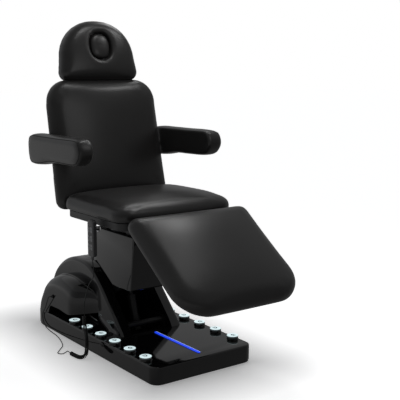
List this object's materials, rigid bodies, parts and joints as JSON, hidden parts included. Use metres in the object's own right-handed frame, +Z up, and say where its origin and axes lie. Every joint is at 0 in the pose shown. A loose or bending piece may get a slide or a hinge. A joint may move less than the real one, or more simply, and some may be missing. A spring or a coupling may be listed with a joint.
{
  "type": "facial treatment bed",
  "caption": "Powered facial treatment bed: padded seat, reclining back, head pad with face hole, leg rest and armrests on a parallel-arm lift over a base with foot buttons.",
  "frame": {"origin": "centre of the base's flat underside, on the floor", "axes": "+X to the foot end, -Y to the sitter's right, +Z up"},
  "size_m": [1.4302, 0.7868, 1.5206],
  "materials": {
    "hide": "soft satin leatherette",
    "gloss_shell": "glossy black shell",
    "dark_steel": "black powder coat",
    "bright_steel": "polished plate",
    "dark_plastic": "matte black",
    "grey_plastic": "fine matte",
    "lit_lens": "lit pale lens",
    "blue_lens": "lit blue lens",
    "cord_rubber": "matte black",
    "pale_key": "fine matte"
  },
  "bodies": {
    "base": {"base_pan": "dark_steel", "deck_cover": "gloss_shell", "housing_shell_right": "gloss_shell", "housing_shell_left": "gloss_shell", "housing_top_cover": "gloss_shell", "lift_frame": "dark_steel", "lower_pivot_shaft": "bright_steel", "light_strip": "blue_lens", "cord_grommet": "cord_rubber", "control_box": "grey_plastic", "lift_actuator_tube": "dark_plastic", "cord_lower": "cord_rubber", "cord_coil": "cord_rubber"},
    "lift_arm": {"lift_arm": "dark_steel", "lift_arm_cover": "gloss_shell"},
    "tie_link": {"tie_link": "dark_steel"},
    "lift_rod": {"lift_actuator_rod": "bright_steel"},
    "carrier": {"carrier_cover": "gloss_shell", "upper_pivot_shaft": "bright_steel", "seat_frame": "dark_steel", "seat_tray": "dark_plastic", "seat_cushion": "hide", "back_hinge_shaft": "bright_steel", "back_actuator_tube": "dark_plastic", "leg_actuator_tube": "dark_plastic", "handset": "grey_plastic", "handset_hook": "bright_steel", "cord_upper": "cord_rubber"},
    "back": {"back_frame": "dark_steel", "back_cushion": "hide", "back_cover": "gloss_shell"},
    "back_rod": {"back_actuator_rod": "bright_steel"},
    "leg": {"leg_frame": "dark_steel", "leg_cushion": "hide"},
    "leg_rod": {"leg_actuator_rod": "bright_steel"},
    "head": {"head_frame": "bright_steel", "head_cushion": "hide"},
    "face_plug": {"face_plug": "hide"},
    "armrest_right": {"armrest_pad_right": "hide", "armrest_bracket_right": "bright_steel"},
    "armrest_left": {"armrest_pad_left": "hide", "armrest_bracket_left": "bright_steel"},
    "foot_button_right_1": {"foot_button_right_1": "lit_lens"},
    "foot_button_right_2": {"foot_button_right_2": "lit_lens"},
    "foot_button_right_3": {"foot_button_right_3": "lit_lens"},
    "foot_button_right_4": {"foot_button_right_4": "lit_lens"},
    "foot_button_right_5": {"foot_button_right_5": "lit_lens"},
    "foot_button_right_6": {"foot_button_right_6": "lit_lens"},
    "foot_button_left_1": {"foot_button_left_1": "lit_lens"},
    "foot_button_left_2": {"foot_button_left_2": "lit_lens"},
    "foot_button_left_3": {"foot_button_left_3": "lit_lens"},
    "foot_button_left_4": {"foot_button_left_4": "lit_lens"},
    "foot_button_left_5": {"foot_button_left_5": "lit_lens"},
    "foot_button_left_6": {"foot_button_left_6": "lit_lens"},
    "handset_key_1": {"handset_key_1": "pale_key"},
    "handset_key_2": {"handset_key_2": "pale_key"},
    "handset_key_3": {"handset_key_3": "pale_key"},
    "handset_key_4": {"handset_key_4": "pale_key"},
    "handset_key_5": {"handset_key_5": "pale_key"},
    "handset_key_6": {"handset_key_6": "pale_key"}
  },
  "joints": [
    {"name": "lift", "type": "hinge", "parent": "base", "child": "lift_arm", "pos_m": [-0.27669, 0, 0.24034], "axis": [0, -1, 0], "range_deg": [-17, 15]},
    {"name": "carrier_level", "type": "hinge", "parent": "lift_arm", "child": "carrier", "pos_m": [0.17, 0, 0.465], "axis": [0, -1, 0], "range_deg": [-15, 17]},
    {"name": "tie_link_turn", "type": "hinge", "parent": "base", "child": "tie_link", "pos_m": [-0.24669, 0, 0.15534], "axis": [0, -1, 0], "range_deg": [-17, 15]},
    {"name": "lift_rod_slide", "type": "slide", "parent": "base", "child": "lift_rod", "axis": [-0.2992, 0, 0.9542], "range_m": [-0.06614, 0.05836]},
    {"name": "recline", "type": "hinge", "parent": "carrier", "child": "back", "pos_m": [-0.17, 0, 0.668], "axis": [0, -1, 0], "range_deg": [0, 78.5]},
    {"name": "back_rod_slide", "type": "slide", "parent": "carrier", "child": "back_rod", "axis": [1, 0, 0], "range_m": [0, 0.1392]},
    {"name": "armrest_right_level", "type": "hinge", "parent": "back", "child": "armrest_right", "pos_m": [-0.27319, 0, 0.91437], "axis": [0, -1, 0], "range_deg": [-78.5, 0]},
    {"name": "armrest_left_level", "type": "hinge", "parent": "back", "child": "armrest_left", "pos_m": [-0.27319, 0, 0.91437], "axis": [0, -1, 0], "range_deg": [-78.5, 0]},
    {"name": "leg_raise", "type": "hinge", "parent": "carrier", "child": "leg", "pos_m": [0.42, 0, 0.612], "axis": [0, -1, 0], "range_deg": [-6.5, 35.5]},
    {"name": "leg_rod_slide", "type": "slide", "parent": "carrier", "child": "leg_rod", "axis": [1, 0, 0], "range_m": [-0.00777, 0.04241]},
    {"name": "head_slide", "type": "slide", "parent": "back", "child": "head", "axis": [-0.1994, 0, 0.9799], "range_m": [0, 0.08]},
    {"name": "face_plug_pull", "type": "slide", "parent": "head", "child": "face_plug", "axis": [0.9799, 0, 0.1994], "range_m": [0, 0.09]},
    {"name": "foot_button_right_1_press", "type": "slide", "parent": "base", "child": "foot_button_right_1", "axis": [0, 0, -1], "range_m": [0, 0.004], "stiffness_N_per_m": 600, "springref_m": -0.004},
    {"name": "foot_button_right_2_press", "type": "slide", "parent": "base", "child": "foot_button_right_2", "axis": [0, 0, -1], "range_m": [0, 0.004], "stiffness_N_per_m": 600, "springref_m": -0.004},
    {"name": "foot_button_right_3_press", "type": "slide", "parent": "base", "child": "foot_button_right_3", "axis": [0, 0, -1], "range_m": [0, 0.004], "stiffness_N_per_m": 600, "springref_m": -0.004},
    {"name": "foot_button_right_4_press", "type": "slide", "parent": "base", "child": "foot_button_right_4", "axis": [0, 0, -1], "range_m": [0, 0.004], "stiffness_N_per_m": 600, "springref_m": -0.004},
    {"name": "foot_button_right_5_press", "type": "slide", "parent": "base", "child": "foot_button_right_5", "axis": [0, 0, -1], "range_m": [0, 0.004], "stiffness_N_per_m": 600, "springref_m": -0.004},
    {"name": "foot_button_right_6_press", "type": "slide", "parent": "base", "child": "foot_button_right_6", "axis": [0, 0, -1], "range_m": [0, 0.004], "stiffness_N_per_m": 600, "springref_m": -0.004},
    {"name": "foot_button_left_1_press", "type": "slide", "parent": "base", "child": "foot_button_left_1", "axis": [0, 0, -1], "range_m": [0, 0.004], "stiffness_N_per_m": 600, "springref_m": -0.004},
    {"name": "foot_button_left_2_press", "type": "slide", "parent": "base", "child": "foot_button_left_2", "axis": [0, 0, -1], "range_m": [0, 0.004], "stiffness_N_per_m": 600, "springref_m": -0.004},
    {"name": "foot_button_left_3_press", "type": "slide", "parent": "base", "child": "foot_button_left_3", "axis": [0, 0, -1], "range_m": [0, 0.004], "stiffness_N_per_m": 600, "springref_m": -0.004},
    {"name": "foot_button_left_4_press", "type": "slide", "parent": "base", "child": "foot_button_left_4", "axis": [0, 0, -1], "range_m": [0, 0.004], "stiffness_N_per_m": 600, "springref_m": -0.004},
    {"name": "foot_button_left_5_press", "type": "slide", "parent": "base", "child": "foot_button_left_5", "axis": [0, 0, -1], "range_m": [0, 0.004], "stiffness_N_per_m": 600, "springref_m": -0.004},
    {"name": "foot_button_left_6_press", "type": "slide", "parent": "base", "child": "foot_button_left_6", "axis": [0, 0, -1], "range_m": [0, 0.004], "stiffness_N_per_m": 600, "springref_m": -0.004},
    {"name": "handset_key_1_press", "type": "slide", "parent": "carrier", "child": "handset_key_1", "axis": [0, 1, 0], "range_m": [0, 0.0012], "stiffness_N_per_m": 500, "springref_m": -0.001},
    {"name": "handset_key_2_press", "type": "slide", "parent": "carrier", "child": "handset_key_2", "axis": [0, 1, 0], "range_m": [0, 0.0012], "stiffness_N_per_m": 500, "springref_m": -0.001},
    {"name": "handset_key_3_press", "type": "slide", "parent": "carrier", "child": "handset_key_3", "axis": [0, 1, 0], "range_m": [0, 0.0012], "stiffness_N_per_m": 500, "springref_m": -0.001},
    {"name": "handset_key_4_press", "type": "slide", "parent": "carrier", "child": "handset_key_4", "axis": [0, 1, 0], "range_m": [0, 0.0012], "stiffness_N_per_m": 500, "springref_m": -0.001},
    {"name": "handset_key_5_press", "type": "slide", "parent": "carrier", "child": "handset_key_5", "axis": [0, 1, 0], "range_m": [0, 0.0012], "stiffness_N_per_m": 500, "springref_m": -0.001},
    {"name": "handset_key_6_press", "type": "slide", "parent": "carrier", "child": "handset_key_6", "axis": [0, 1, 0], "range_m": [0, 0.0012], "stiffness_N_per_m": 500, "springref_m": -0.001}
  ],
  "couplings": [
    {"joint": "carrier_level", "follows": "lift", "ratio": -1},
    {"joint": "tie_link_turn", "follows": "lift", "ratio": 1},
    {"joint": "lift_rod_slide", "follows": "lift", "m_per_rad": 0.22293},
    {"joint": "back_rod_slide", "follows": "recline", "m_per_rad": 0.1016},
    {"joint": "armrest_right_level", "follows": "recline", "ratio": -1},
    {"joint": "armrest_left_level", "follows": "recline", "ratio": -1},
    {"joint": "leg_rod_slide", "follows": "leg_raise", "m_per_rad": 0.068443}
  ]
}
